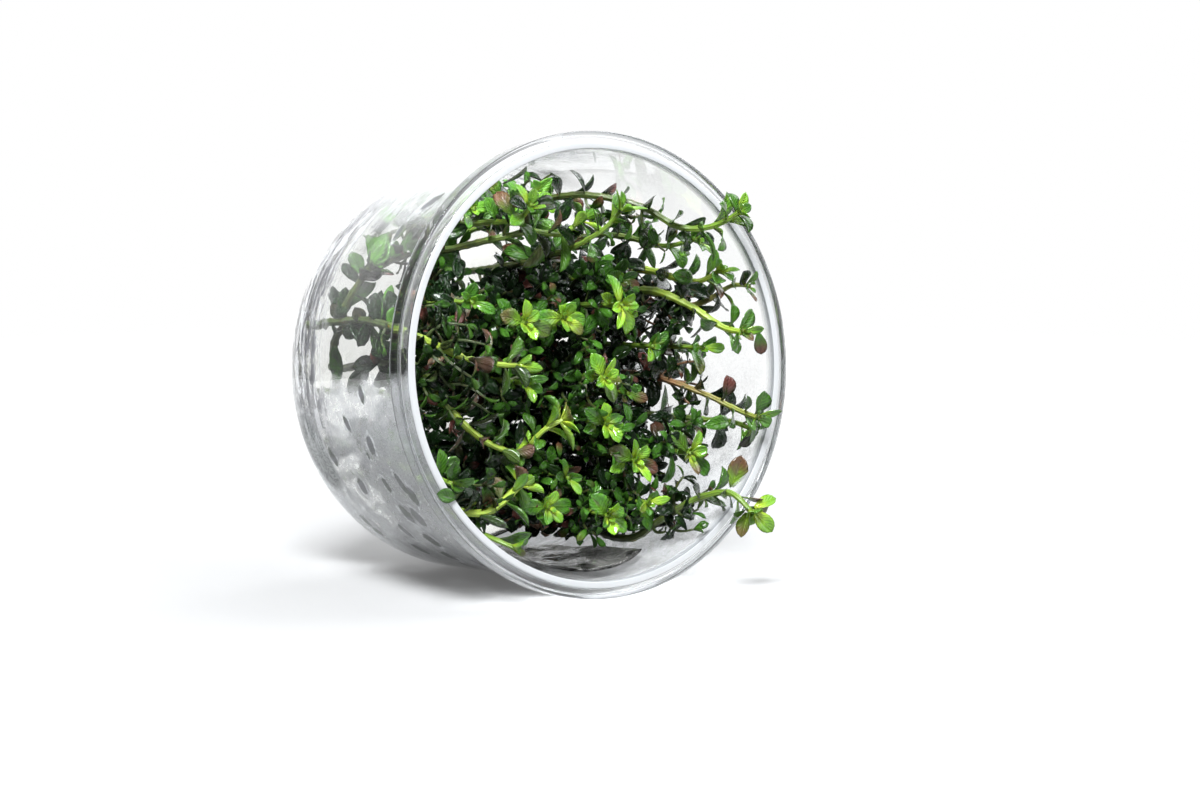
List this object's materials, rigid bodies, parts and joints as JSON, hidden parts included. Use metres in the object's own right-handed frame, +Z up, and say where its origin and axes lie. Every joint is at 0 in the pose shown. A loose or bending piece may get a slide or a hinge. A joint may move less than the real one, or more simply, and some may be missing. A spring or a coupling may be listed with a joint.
{
  "type": "tissue culture rotala colorata in its cup",
  "caption": "Tissue-cultured stem plant for aquariums, shoots growing from nutrient gel in a clear plastic cup that lies on its side with the lid off.",
  "frame": {"origin": "on the surface that the cup lies on, under the middle of the part's bounding box", "axes": "+Z up; -Y the way the cup's open mouth faces; +X to the right as seen looking into the mouth"},
  "size_m": [0.1, 0.0864, 0.0998],
  "materials": {
    "cup": "clear, glossy, fogged inside in places",
    "gel": "moist, translucent",
    "green_shoot": "moist, half-glossy leaves",
    "bright_shoot": "moist, half-glossy leaves",
    "dark_shoot": "moist, half-glossy leaves"
  },
  "bodies": {
    "root": {"cup": "cup", "gel": "gel", "gel_slab": "gel", "shoot_01": "green_shoot", "shoot_02": "green_shoot", "shoot_03": "green_shoot", "shoot_04": "green_shoot", "shoot_05": "green_shoot", "shoot_06": "green_shoot", "shoot_07": "green_shoot", "shoot_08": "green_shoot", "shoot_09": "green_shoot", "shoot_10": "green_shoot", "shoot_11": "green_shoot", "shoot_12": "green_shoot", "shoot_13": "green_shoot", "shoot_14": "green_shoot", "shoot_15": "green_shoot", "shoot_16": "green_shoot", "shoot_17": "green_shoot", "shoot_18": "green_shoot", "shoot_19": "bright_shoot", "shoot_20": "bright_shoot", "shoot_21": "bright_shoot", "shoot_22": "bright_shoot", "shoot_23": "bright_shoot", "shoot_24": "bright_shoot", "shoot_25": "bright_shoot", "shoot_26": "bright_shoot", "shoot_27": "bright_shoot", "shoot_28": "bright_shoot", "shoot_29": "bright_shoot", "shoot_30": "bright_shoot", "shoot_31": "bright_shoot", "shoot_32": "bright_shoot", "shoot_33": "bright_shoot", "shoot_34": "bright_shoot", "shoot_35": "bright_shoot", "shoot_36": "bright_shoot", "shoot_37": "bright_shoot", "shoot_38": "dark_shoot", "shoot_39": "dark_shoot", "shoot_40": "dark_shoot", "shoot_41": "dark_shoot", "shoot_42": "dark_shoot", "shoot_43": "dark_shoot", "shoot_44": "dark_shoot", "shoot_45": "dark_shoot"}
  },
  "joints": []
}
